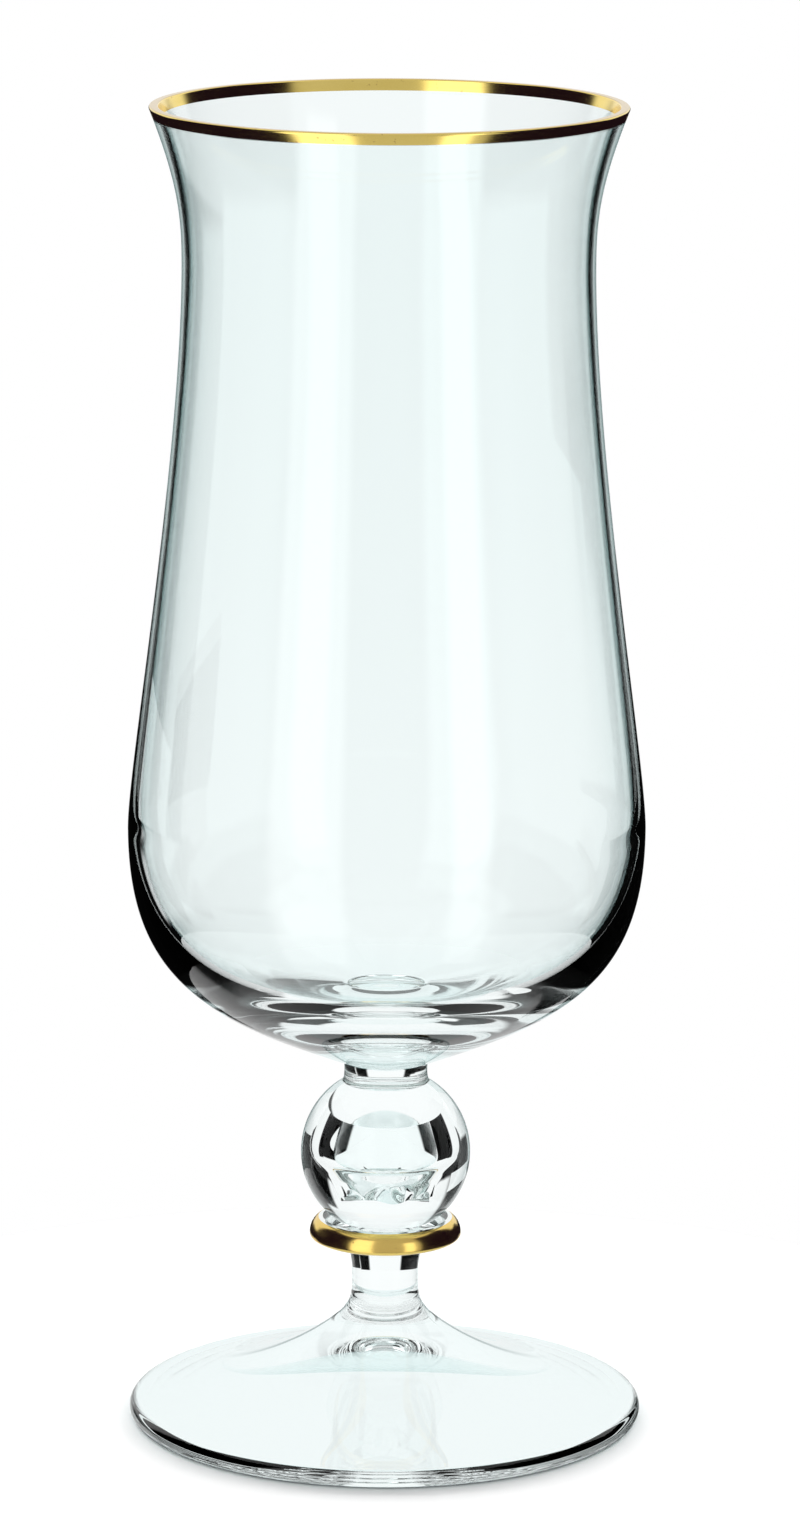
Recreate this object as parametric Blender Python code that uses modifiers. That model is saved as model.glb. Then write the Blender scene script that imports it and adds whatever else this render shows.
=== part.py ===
"""Stemmed tulip beer glass with a hollow ball knop, a gilded collar and a gilded rim.

The glass is built the way a glassmaker builds it: a blown bowl, a short neck button, a blown
ball, a pressed collar, a drawn leg and a spread foot, stuck end to end on one axis. Two films of
gold are fired on afterwards, one over the lip and one round the collar.

Lengths are in metres, +Z is up, and the origin is where the axis meets the table. Every piece is
a turned profile drawn in its own frame, with z = 0 at its lower seam, and is lifted to its place.
"""

import math

import bpy
from mathutils import Vector
from mathutils.geometry import interpolate_bezier

# Clearances and films
SEAM_GAP = 0.0003
GILDING_THICKNESS = 0.00025

# Facets round the axis, and along the curves of each section
BOWL_STEPS = 48
STEM_STEPS = 32
FLARE_SEGMENTS = 5
WAIST_SEGMENTS = 7
BELLY_SEGMENTS = 9
LIP_EDGE_SEGMENTS = 3
BUTTON_SEGMENTS = 4
BALL_SEGMENTS = 14
BALL_HOLLOW_SEGMENTS = 10
DISH_SEGMENTS = 4
COLLAR_EDGE_SEGMENTS = 4
LEG_SEGMENTS = 6
TRUMPET_SEGMENTS = 11
FOOT_RIM_SEGMENTS = 6
FOOT_HOLLOW_SEGMENTS = 8

# Bowl: outline from the lip down to the seam with the neck button
BOWL_HEIGHT = 0.14452
LIP_RADIUS = 0.0354
LIP_THICKNESS = 0.0017
LIP_EDGE_RADIUS = 0.0007
FLARE_ANGLE = math.radians(20.7)
WAIST_RADIUS = 0.0306
WAIST_HEIGHT = 0.1214
BELLY_RADIUS = 0.03886
BELLY_HEIGHT = 0.0361
BASE_SLOPE = math.radians(22.9)
WAIST_WALL = 0.0012
BELLY_WALL = 0.0017
BASE_THICKNESS = 0.0102
HOLLOW_LIFT = 0.0020

# Bowl: how full each curve is, as shares of the span that it bridges
FLARE_FULLNESS = 0.48
WAIST_FULLNESS_ABOVE = 0.32
WAIST_FULLNESS_BELOW = 0.337
BELLY_FULLNESS_ABOVE = 0.106
BELLY_FULLNESS_BELOW = 0.656
BASE_FULLNESS = 0.677
HOLLOW_FULLNESS_WAIST = 0.275
HOLLOW_FULLNESS_ABOVE = 0.111
HOLLOW_FULLNESS_SIDE = 0.967
HOLLOW_FULLNESS_FLOOR = 0.498

# Gold band over the lip: how far it reaches down both sides of the wall
BAND_DEPTH = 0.0017

# Neck button and its spigot in the ball's blow hole
BUTTON_HEIGHT = 0.0026
BOWL_SEAM_RADIUS = 0.0064
BUTTON_WAIST_RADIUS = 0.0062
BALL_SEAM_RADIUS = 0.0065
BLOW_HOLE_RADIUS = 0.0030

# Ball knop, and the barrel-shaped hollow in it, measured from the ball's middle
BALL_RADIUS = 0.01285
BALL_SEAT_RADIUS = 0.0050
BARREL_ROOF = 0.0047
BARREL_ROOF_RADIUS = 0.0065
BARREL_ROOF_BULGE = 0.0029
BARREL_ROOF_HANDLE = 0.0080
BARREL_FLOOR = 0.0050
BARREL_FLOOR_RADIUS = 0.0045
BARREL_FLOOR_BULGE = 0.0021
BARREL_FLOOR_HANDLE = 0.0051

# Collar: glass disc dished for the ball, with a rounded gilded edge
COLLAR_HEIGHT = 0.0039
COLLAR_WEB = 0.00145
COLLAR_LIP_WIDTH = 0.0003
COLLAR_REACH = 0.0020
COLLAR_GILT_HEIGHT = 0.0034
COLLAR_EDGE_HEIGHT = 0.00095
COLLAR_GILT_HEM = 0.0010

# Leg
LEG_HEIGHT = 0.0115
LEG_TOP_RADIUS = 0.0057
LEG_WAIST_RADIUS = 0.0050
LEG_WAIST_HEIGHT = 0.0056
LEG_SPREAD_ANGLE = math.radians(48.0)
LEG_FULLNESS = 0.45

# Foot
FOOT_HEIGHT = 0.0155
FOOT_RADIUS = 0.0389
FOOT_SEAM_RADIUS = 0.0069
FOOT_EDGE_THICKNESS = 0.0028
TRUMPET_TOP_SLOPE = math.radians(42.5)
TRUMPET_TOP_HANDLE = 0.0077
TRUMPET_RIM_SLOPE = math.radians(7.9)
TRUMPET_RIM_HANDLE = 0.0135
FOOT_RING_WIDTH = 0.0020
FOOT_DOME_HEIGHT = 0.0111
FOOT_DOME_HANDLE = 0.0090
FOOT_HOLLOW_SLOPE = math.radians(11.5)
FOOT_HOLLOW_HANDLE = 0.0210

# Glass and gold as the eye sees them
GLASS_COLOUR = (0.90, 0.96, 0.95)
GLASS_ROUGHNESS = 0.02
GLASS_IOR = 1.5
GOLD_COLOUR = (0.76, 0.56, 0.16)
GOLD_ROUGHNESS = 0.22

# Seats that two pieces share, worked out from the sizes above
FILM_SEAT = GILDING_THICKNESS + SEAM_GAP
BALL_DEPTH = math.sqrt(BALL_RADIUS**2 - BALL_SEAT_RADIUS**2)
BALL_RISE = math.sqrt(BALL_RADIUS**2 - BALL_SEAM_RADIUS**2)
BLOW_HOLE_DEPTH = BALL_RISE - BARREL_ROOF
DISH_RADIUS = BALL_RADIUS + SEAM_GAP
DISH_CENTRE_HEIGHT = COLLAR_WEB + SEAM_GAP + BALL_DEPTH
COLLAR_LIP_RADIUS = (
    math.sqrt(DISH_RADIUS**2 - (DISH_CENTRE_HEIGHT - COLLAR_HEIGHT) ** 2) + COLLAR_LIP_WIDTH
)
COLLAR_GILT_RADIUS = COLLAR_LIP_RADIUS + SEAM_GAP

# Heights of the seams above the table
LEG_BASE = FOOT_HEIGHT + SEAM_GAP
COLLAR_BASE = LEG_BASE + LEG_HEIGHT + SEAM_GAP
BALL_BASE = COLLAR_BASE + COLLAR_WEB + SEAM_GAP
BUTTON_BASE = BALL_BASE + BALL_DEPTH + BALL_RISE + SEAM_GAP
BOWL_BASE = BUTTON_BASE + BUTTON_HEIGHT + SEAM_GAP

AXIS_MERGE = 0.00001


def point(radius, height):
    """Return a profile point at a radius from the axis and a height above the piece's seam."""
    return Vector((radius, 0.0, height))


def polar(length, angle):
    """Return a step of a given length at an angle above the horizontal, away from the axis."""
    return point(length * math.cos(angle), length * math.sin(angle))


def curve(start, start_handle, end_handle, end, segments):
    """Return the points of a Bezier stretch, both ends included."""
    return interpolate_bezier(start, start_handle, end_handle, end, segments + 1)


def round_edge(centre, reach, rise, first, last, segments):
    """Return points on an ellipse from one angle to another, in degrees from the horizontal."""
    points = []
    for index in range(segments + 1):
        angle = math.radians(first + (last - first) * index / segments)
        points.append(centre + point(reach * math.cos(angle), rise * math.sin(angle)))
    return points


def glass(name):
    """Return the clear, faintly green glass of one piece."""
    material = bpy.data.materials.new(name)
    material.use_nodes = True
    shader = material.node_tree.nodes["Principled BSDF"]
    shader.inputs["Base Color"].default_value = (*GLASS_COLOUR, 1.0)
    shader.inputs["Roughness"].default_value = GLASS_ROUGHNESS
    shader.inputs["Metallic"].default_value = 0.0
    shader.inputs["Transmission Weight"].default_value = 1.0
    shader.inputs["IOR"].default_value = GLASS_IOR
    return material


def gold(name):
    """Return the fired gold of one film."""
    material = bpy.data.materials.new(name)
    material.use_nodes = True
    shader = material.node_tree.nodes["Principled BSDF"]
    shader.inputs["Base Color"].default_value = (*GOLD_COLOUR, 1.0)
    shader.inputs["Roughness"].default_value = GOLD_ROUGHNESS
    shader.inputs["Metallic"].default_value = 1.0
    return material


class Bench:
    """The collection and the axis empty that hold the turned pieces."""

    def __init__(self, name):
        self.collection = bpy.data.collections.new(name)
        bpy.context.scene.collection.children.link(self.collection)
        self.axis = bpy.data.objects.new("glass_axis", None)
        self.collection.objects.link(self.axis)

    def turn(self, name, profile, base, steps, material, closed=False):
        """Turn a profile round the axis and stand it on its seam.

        An open profile starts and ends on the axis. A closed one is the section of a ring.
        """
        count = len(profile)
        edges = [(index, index + 1) for index in range(count - 1)]
        if closed:
            edges.append((count - 1, 0))
        mesh = bpy.data.meshes.new(name)
        mesh.from_pydata(profile, edges, [])
        mesh.materials.append(material)
        piece = bpy.data.objects.new(name, mesh)
        self.collection.objects.link(piece)
        piece.parent = self.axis
        piece.location.z = base
        screw = piece.modifiers.new("turn", "SCREW")
        screw.axis = "Z"
        screw.angle = math.tau
        screw.steps = steps
        screw.render_steps = steps
        screw.use_merge_vertices = True
        screw.merge_threshold = AXIS_MERGE
        screw.use_smooth_shade = True
        return piece


def down_wall(start, depth):
    """Return the point down the flared wall from a start, at a depth below the lip's top."""
    drop = start.z - (BOWL_HEIGHT - depth)
    return start - point(drop * math.tan(FLARE_ANGLE), drop)


def lip_section(inset, depth):
    """Return the lip's section: up the inside of the wall, over the flat top, and down the outside.

    inset is the distance in from the gold's surface, and depth is where both sides end, below the top.
    """
    lean = math.degrees(FLARE_ANGLE)
    radius = LIP_EDGE_RADIUS - inset
    flat = (LIP_THICKNESS - 2 * LIP_EDGE_RADIUS) / math.cos(FLARE_ANGLE)
    outer_centre = point(LIP_RADIUS - LIP_EDGE_RADIUS, BOWL_HEIGHT - LIP_EDGE_RADIUS)
    inner_centre = outer_centre - point(flat, 0)
    inner = round_edge(inner_centre, radius, radius, 180 - lean, 90, LIP_EDGE_SEGMENTS)
    outer = round_edge(outer_centre, radius, radius, 90, -lean, LIP_EDGE_SEGMENTS)
    return [down_wall(inner[0], depth)] + inner + outer + [down_wall(outer[-1], depth)]


def bowl_wall(lip, waist, belly, fullness_below, fullness_above):
    """Return the curve from under the lip, through the waist, to the widest part of the belly.

    fullness_below and fullness_above are those of its lower half, below the waist and above the belly.
    """
    flare_span = lip.z - waist.z
    belly_span = waist.z - belly.z
    flare_reach = flare_span * FLARE_FULLNESS
    flare_handle = lip - point(flare_reach * math.sin(FLARE_ANGLE), flare_reach * math.cos(FLARE_ANGLE))
    waist_handle = waist + point(0, flare_span * WAIST_FULLNESS_ABOVE)
    upper = curve(lip, flare_handle, waist_handle, waist, FLARE_SEGMENTS)
    lower = curve(
        waist,
        waist - point(0, belly_span * fullness_below),
        belly + point(0, belly_span * fullness_above),
        belly,
        WAIST_SEGMENTS,
    )
    return upper + lower[1:]


def bowl_profile():
    """Return the bowl's section: up the hollow, over the lip, and down the outside to the seam."""
    inner_waist = point(WAIST_RADIUS - WAIST_WALL, WAIST_HEIGHT)
    inner_belly = point(BELLY_RADIUS - BELLY_WALL, BELLY_HEIGHT + HOLLOW_LIFT)
    hollow_depth = inner_belly.z - BASE_THICKNESS
    floor = curve(
        point(0, BASE_THICKNESS),
        point(inner_belly.x * HOLLOW_FULLNESS_FLOOR, BASE_THICKNESS),
        inner_belly - point(0, hollow_depth * HOLLOW_FULLNESS_SIDE),
        inner_belly,
        BELLY_SEGMENTS,
    )
    gold_end = BAND_DEPTH + SEAM_GAP
    under_gold = lip_section(FILM_SEAT, gold_end)
    bare = lip_section(0, gold_end)
    inside = bowl_wall(bare[0], inner_waist, inner_belly, HOLLOW_FULLNESS_WAIST, HOLLOW_FULLNESS_ABOVE)
    waist = point(WAIST_RADIUS, WAIST_HEIGHT)
    belly = point(BELLY_RADIUS, BELLY_HEIGHT)
    outside = bowl_wall(bare[-1], waist, belly, WAIST_FULLNESS_BELOW, BELLY_FULLNESS_ABOVE)
    base_span = BELLY_RADIUS - BOWL_SEAM_RADIUS
    seam = point(BOWL_SEAM_RADIUS, 0)
    under = curve(
        belly,
        belly - point(0, BELLY_HEIGHT * BELLY_FULLNESS_BELOW),
        seam + polar(base_span * BASE_FULLNESS, BASE_SLOPE),
        seam,
        BELLY_SEGMENTS,
    )
    return floor + inside[-2::-1] + under_gold + outside + under[1:] + [point(0, 0)]


def rim_gilding_profile():
    """Return the section of the gold film, a channel turned over the lip."""
    return lip_section(0, BAND_DEPTH) + lip_section(GILDING_THICKNESS, BAND_DEPTH)[::-1]


def neck_button_profile():
    """Return the button's section, with the spigot that closes the ball's blow hole."""
    top = point(BOWL_SEAM_RADIUS, BUTTON_HEIGHT)
    bottom = point(BALL_SEAM_RADIUS, 0)
    side = curve(
        top,
        point(BUTTON_WAIST_RADIUS, BUTTON_HEIGHT * 2 / 3),
        point(BUTTON_WAIST_RADIUS, BUTTON_HEIGHT / 3),
        bottom,
        BUTTON_SEGMENTS,
    )
    spigot_radius = BLOW_HOLE_RADIUS - SEAM_GAP
    spigot_end = -SEAM_GAP - BLOW_HOLE_DEPTH
    spigot = [point(spigot_radius, 0), point(spigot_radius, spigot_end), point(0, spigot_end)]
    return [point(0, BUTTON_HEIGHT)] + side + spigot


def ball_knop_profile():
    """Return the ball's section: from the hollow's floor, out of the blow hole, round the outside."""
    centre = point(0, BALL_DEPTH)
    floor = centre + point(BARREL_FLOOR_RADIUS, -BARREL_FLOOR)
    roof = centre + point(BARREL_ROOF_RADIUS, BARREL_ROOF)
    barrel = curve(
        floor,
        floor + point(BARREL_FLOOR_BULGE, BARREL_FLOOR_HANDLE),
        roof + point(BARREL_ROOF_BULGE, -BARREL_ROOF_HANDLE),
        roof,
        BALL_HOLLOW_SEGMENTS,
    )
    blow_hole = [point(BLOW_HOLE_RADIUS, roof.z), point(BLOW_HOLE_RADIUS, BALL_DEPTH + BALL_RISE)]
    seam_angle = math.degrees(math.acos(BALL_SEAM_RADIUS / BALL_RADIUS))
    seat_angle = -math.degrees(math.acos(BALL_SEAT_RADIUS / BALL_RADIUS))
    outside = round_edge(centre, BALL_RADIUS, BALL_RADIUS, seam_angle, seat_angle, BALL_SEGMENTS)
    return [point(0, floor.z)] + barrel + blow_hole + outside + [point(0, 0)]


def collar_edge(inset):
    """Return the collar's egg-shaped edge, set in from the gold's surface, from top to bottom."""
    centre = point(COLLAR_GILT_RADIUS, COLLAR_EDGE_HEIGHT)
    reach = COLLAR_REACH - inset
    above = COLLAR_GILT_HEIGHT - COLLAR_EDGE_HEIGHT - inset
    below = COLLAR_EDGE_HEIGHT - inset
    upper = round_edge(centre, reach, above, 90, 0, COLLAR_EDGE_SEGMENTS)
    lower = round_edge(centre, reach, below, 0, -90, COLLAR_EDGE_SEGMENTS)
    return upper + lower[1:]


def collar_ring_profile():
    """Return the section of the glass disc: ball dish, lip, edge under the gold, flat underside."""
    dish_centre = point(0, DISH_CENTRE_HEIGHT)
    floor_angle = -math.degrees(math.asin((DISH_CENTRE_HEIGHT - COLLAR_WEB) / DISH_RADIUS))
    rim_angle = -math.degrees(math.asin((DISH_CENTRE_HEIGHT - COLLAR_HEIGHT) / DISH_RADIUS))
    dish = round_edge(dish_centre, DISH_RADIUS, DISH_RADIUS, floor_angle, rim_angle, DISH_SEGMENTS)
    edge = collar_edge(FILM_SEAT)
    hem_radius = COLLAR_GILT_RADIUS - COLLAR_GILT_HEM - SEAM_GAP
    lip = [point(COLLAR_LIP_RADIUS, COLLAR_GILT_HEIGHT), point(COLLAR_LIP_RADIUS, edge[0].z)]
    hem = [point(hem_radius, edge[-1].z), point(hem_radius, 0), point(0, 0)]
    return [point(0, COLLAR_WEB)] + dish + lip + edge + hem


def collar_gilding_profile():
    """Return the section of the gold film round the collar, with a hem turned in underneath."""
    outer = collar_edge(0)
    inner = collar_edge(GILDING_THICKNESS)
    hem_radius = COLLAR_GILT_RADIUS - COLLAR_GILT_HEM
    hem = [point(hem_radius, 0), point(hem_radius, GILDING_THICKNESS)]
    return outer + hem + inner[::-1]


def leg_profile():
    """Return the leg's section, drawn in at the waist and spread towards the foot."""
    top = point(LEG_TOP_RADIUS, LEG_HEIGHT)
    waist = point(LEG_WAIST_RADIUS, LEG_WAIST_HEIGHT)
    bottom = point(FOOT_SEAM_RADIUS, 0)
    upper_reach = (LEG_HEIGHT - LEG_WAIST_HEIGHT) * LEG_FULLNESS
    lower_reach = LEG_WAIST_HEIGHT * LEG_FULLNESS
    top_handle = point((LEG_TOP_RADIUS + LEG_WAIST_RADIUS) / 2, LEG_HEIGHT - upper_reach)
    upper = curve(top, top_handle, waist + point(0, upper_reach), waist, LEG_SEGMENTS)
    spread = polar(lower_reach, math.pi - LEG_SPREAD_ANGLE)
    lower = curve(waist, waist - point(0, lower_reach), bottom + spread, bottom, LEG_SEGMENTS)
    return [point(0, LEG_HEIGHT)] + upper + lower[1:] + [point(0, 0)]


def foot_profile():
    """Return the foot's section: trumpet, rounded rim, standing ring and domed underside."""
    half = FOOT_EDGE_THICKNESS / 2
    rim_centre = point(FOOT_RADIUS - half, half)
    rim_start = 90 - math.degrees(TRUMPET_RIM_SLOPE)
    rim = round_edge(rim_centre, half, half, rim_start, -90, FOOT_RIM_SEGMENTS)
    top = point(FOOT_SEAM_RADIUS, FOOT_HEIGHT)
    trumpet = curve(
        top,
        top + polar(TRUMPET_TOP_HANDLE, -TRUMPET_TOP_SLOPE),
        rim[0] + polar(TRUMPET_RIM_HANDLE, math.pi - TRUMPET_RIM_SLOPE),
        rim[0],
        TRUMPET_SEGMENTS,
    )
    ring = point(FOOT_RADIUS - half - FOOT_RING_WIDTH, 0)
    hollow = curve(
        ring,
        ring + polar(FOOT_HOLLOW_HANDLE, math.pi - FOOT_HOLLOW_SLOPE),
        point(FOOT_DOME_HANDLE, FOOT_DOME_HEIGHT),
        point(0, FOOT_DOME_HEIGHT),
        FOOT_HOLLOW_SEGMENTS,
    )
    return [point(0, FOOT_HEIGHT)] + trumpet + rim[1:] + hollow


def main():
    """Clear the scene and turn every piece of the glass."""
    for item in list(bpy.data.objects):
        bpy.data.objects.remove(item)
    bench = Bench("tulip_beer_glass")
    bench.turn("foot", foot_profile(), 0.0, BOWL_STEPS, glass("foot_glass"))
    bench.turn("leg", leg_profile(), LEG_BASE, STEM_STEPS, glass("leg_glass"))
    bench.turn("collar_ring", collar_ring_profile(), COLLAR_BASE, STEM_STEPS, glass("collar_glass"))
    collar_gold = gold("collar_gold")
    bench.turn("collar_gilding", collar_gilding_profile(), COLLAR_BASE, STEM_STEPS, collar_gold, closed=True)
    bench.turn("ball_knop", ball_knop_profile(), BALL_BASE, STEM_STEPS, glass("ball_glass"))
    bench.turn("neck_button", neck_button_profile(), BUTTON_BASE, STEM_STEPS, glass("button_glass"))
    bench.turn("bowl", bowl_profile(), BOWL_BASE, BOWL_STEPS, glass("bowl_glass"))
    bench.turn("rim_gilding", rim_gilding_profile(), BOWL_BASE, BOWL_STEPS, gold("rim_gold"), closed=True)


main()
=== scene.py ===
"""Looks of a stemmed tulip beer glass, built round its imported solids.

Every piece of the glass is turned again here, finely enough for its wall to bend light as blown
glass does, and is dressed in clear glass or fired gold. The glass stands on a white table among
soft light and dark cards, which draw the edges of clear glass in a studio.

Lengths are in metres, +Z is up, and the origin is where the axis meets the table.
"""

import logging
import math
from collections.abc import Callable
from dataclasses import dataclass, field
from enum import Enum
from typing import TypeAlias

import bpy
from mathutils import Matrix, Vector
from mathutils.geometry import interpolate_bezier


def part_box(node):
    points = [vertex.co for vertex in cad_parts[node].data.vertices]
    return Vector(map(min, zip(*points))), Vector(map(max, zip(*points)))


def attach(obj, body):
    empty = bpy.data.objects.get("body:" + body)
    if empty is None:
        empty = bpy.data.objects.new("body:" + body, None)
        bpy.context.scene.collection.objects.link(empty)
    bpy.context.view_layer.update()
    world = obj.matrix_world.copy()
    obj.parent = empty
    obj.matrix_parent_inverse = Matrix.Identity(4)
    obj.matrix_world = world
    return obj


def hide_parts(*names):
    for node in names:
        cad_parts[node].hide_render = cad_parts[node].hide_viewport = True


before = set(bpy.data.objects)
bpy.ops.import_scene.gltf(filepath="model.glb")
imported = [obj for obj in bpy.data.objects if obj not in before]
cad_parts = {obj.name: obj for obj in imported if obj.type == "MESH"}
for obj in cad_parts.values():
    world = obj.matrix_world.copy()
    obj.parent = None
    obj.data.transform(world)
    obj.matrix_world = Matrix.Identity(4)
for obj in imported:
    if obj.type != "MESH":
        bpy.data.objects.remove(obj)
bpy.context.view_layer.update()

LOG = logging.getLogger("tulip_glass")
BODY = "root"
MM = 0.001
BOWL_SEAM_RADIUS = 6.4 * MM
LEG_SEAM_RADIUS = 6.9 * MM
FILM_BITE = 0.03 * MM
NOISE_MIDDLE = 0.5

# An edge is the middle and the width of a mask's rise.
Edge: TypeAlias = tuple[float, float]
Colour: TypeAlias = tuple[float, float, float]
Tone: TypeAlias = "Socket | Colour"
Value: TypeAlias = "Socket | float"
Wobble: TypeAlias = Callable[[Vector, float], Vector]


class Slot(Enum):
    """Material slots of the record, one for each finish of the pieces; nothing here reads them."""

    BOWL_GLASS = "bowl_glass"
    STEM_GLASS = "stem_glass"
    FOOT_GLASS = "foot_glass"
    RIM_GOLD = "rim_gold"
    COLLAR_GOLD = "collar_gold"


class Skin(Enum):
    """Which finish a stretch of a turned surface takes: that of its shown side, or of its hidden one."""

    SHOWN = 0
    HIDDEN = 1


class Ray(Enum):
    """Kinds of light ray that a finish or the studio answers each in its own way."""

    EYE = "Is Camera Ray"
    MATT = "Is Diffuse Ray"
    GLOSS = "Is Glossy Ray"
    THROUGH = "Is Transmission Ray"


@dataclass(frozen=True)
class Socket:
    """An output of a node, on which shader maths is written as Python expressions."""

    graph: "Graph"
    end: bpy.types.NodeSocket

    def maths(self, operation: str, *operands: Value) -> "Socket":
        """Return the result of a Math node, given its operation and the values of its inputs in order."""
        inputs = dict(enumerate(operands))
        return self.graph.node("ShaderNodeMath", {"operation": operation}, inputs)

    def __add__(self, other: Value) -> "Socket":
        """Return self + other."""
        return self.maths("ADD", self, other)

    def __radd__(self, other: float) -> "Socket":
        """Return other + self."""
        return self.maths("ADD", other, self)

    def __sub__(self, other: Value) -> "Socket":
        """Return self - other."""
        return self.maths("SUBTRACT", self, other)

    def __rsub__(self, other: float) -> "Socket":
        """Return other - self."""
        return self.maths("SUBTRACT", other, self)

    def __mul__(self, other: Value) -> "Socket":
        """Return self * other."""
        return self.maths("MULTIPLY", self, other)

    def __rmul__(self, other: float) -> "Socket":
        """Return other * self."""
        return self.maths("MULTIPLY", other, self)

    def __pow__(self, other: Value) -> "Socket":
        """Return self to the power of other."""
        return self.maths("POWER", self, other)

    def __abs__(self) -> "Socket":
        """Return the size of self without its sign."""
        return self.maths("ABSOLUTE", self)

    def above(self, edge: float, blur: float) -> "Socket":
        """Return a mask that rises smoothly from 0 to 1, over a blur, as self passes an edge."""
        ends = {"Value": self, "From Min": edge - blur / 2, "From Max": edge + blur / 2}
        return self.graph.node("ShaderNodeMapRange", {"interpolation_type": "SMOOTHSTEP"}, ends)

    def between(self, low: float, high: float, blur: float) -> "Socket":
        """Return a mask that is 1 between two values and 0 outside them, with blurred edges."""
        return self.above(low, blur) * (1 - self.above(high, blur))


@dataclass(frozen=True)
class Grain:
    """A noise on a surface: its scale, its finer layers, and its stretch round and up the axis."""

    scale: float
    detail: float = 2.0
    around: float = 1.0
    upward: float = 1.0


class Graph:
    """A node tree that is written from nothing."""

    def __init__(self, tree: bpy.types.NodeTree) -> None:
        """Empty the tree."""
        self.tree = tree
        tree.nodes.clear()

    def node(
        self,
        kind: str,
        settings: dict[str, object] | None = None,
        inputs: dict[str | int, object] | None = None,
        output: str | int = 0,
    ) -> Socket | None:
        """Add a node, set it up, and fill its sockets.

        Args:
            kind: The node's type.
            settings: What is set on the node before its sockets.
            inputs: Values or links, by the names or numbers of the input sockets.
            output: Name or number of the output that is returned.

        Returns:
            That output, or None from a node that has no outputs.
        """
        node = self.tree.nodes.new(kind)
        for name, value in (settings or {}).items():
            setattr(node, name, value)
        for name, value in (inputs or {}).items():
            socket = node.inputs[name]
            if isinstance(value, Socket):
                self.tree.links.new(value.end, socket)
            else:
                socket.default_value = (*value, 1.0) if socket.type == "RGBA" else value
        return Socket(self, node.outputs[output]) if node.outputs else None

    def mix(self, factor: Value, first: Tone, second: Tone) -> Socket:
        """Return a blend of two colours, with the factor as the share of the second."""
        inputs = {"Factor": factor, 6: first, 7: second}
        return self.node("ShaderNodeMix", {"data_type": "RGBA"}, inputs, 2)

    def blend(self, factor: Value, first: Socket, second: Socket) -> Socket:
        """Return a blend of two shaders, with the factor as the share of the second."""
        return self.node("ShaderNodeMixShader", None, {0: factor, 1: first, 2: second})

    def place(self) -> Socket:
        """Return where a point of the surface is, in the object's own frame."""
        return self.node("ShaderNodeTexCoord", output="Object")

    def part(self, vector: Socket, axis: str) -> Socket:
        """Return a vector's part along an axis."""
        return self.node("ShaderNodeSeparateXYZ", None, {0: vector}, axis)

    def noise(self, grain: Grain) -> Socket:
        """Return noise from 0 to 1, drawn out round the axis as a turning wheel draws its marks.

        Args:
            grain: How the noise lies on the surface.

        Returns:
            The noise, without a seam.
        """
        stretch = {0: self.place(), 1: (grain.around, grain.around, grain.upward)}
        spot = self.node("ShaderNodeVectorMath", {"operation": "MULTIPLY"}, stretch)
        inputs = {"Vector": spot, "Scale": grain.scale, "Detail": grain.detail}
        return self.node("ShaderNodeTexNoise", None, inputs)

    def ray(self, kind: Ray) -> Socket:
        """Return 1 for a ray of a kind, and 0 for any other."""
        return self.node("ShaderNodeLightPath", output=kind.value)

    def mirrored_ray(self) -> Socket:
        """Return 1 where a gloss mirrors what it sees, and 0 where it is seen direct or through glass."""
        return self.ray(Ray.GLOSS) * (1 - self.ray(Ray.THROUGH))

    def surface(self, shader: Socket) -> None:
        """Send a shader to the material's output."""
        self.node("ShaderNodeOutputMaterial", None, {"Surface": shader})


@dataclass(frozen=True)
class Finish:
    """A finish that pieces or things of the studio are dressed in."""

    name: str

    def material(self) -> bpy.types.Material:
        """Return the finish as a new material.

        Returns:
            The material, painted with the finish.
        """
        material = bpy.data.materials.new(self.name)
        material.use_nodes = True
        self.paint(Graph(material.node_tree))
        return material

    def paint(self, graph: Graph) -> None:
        """Write the nodes of the finish into a material's tree."""
        raise NotImplementedError


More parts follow.
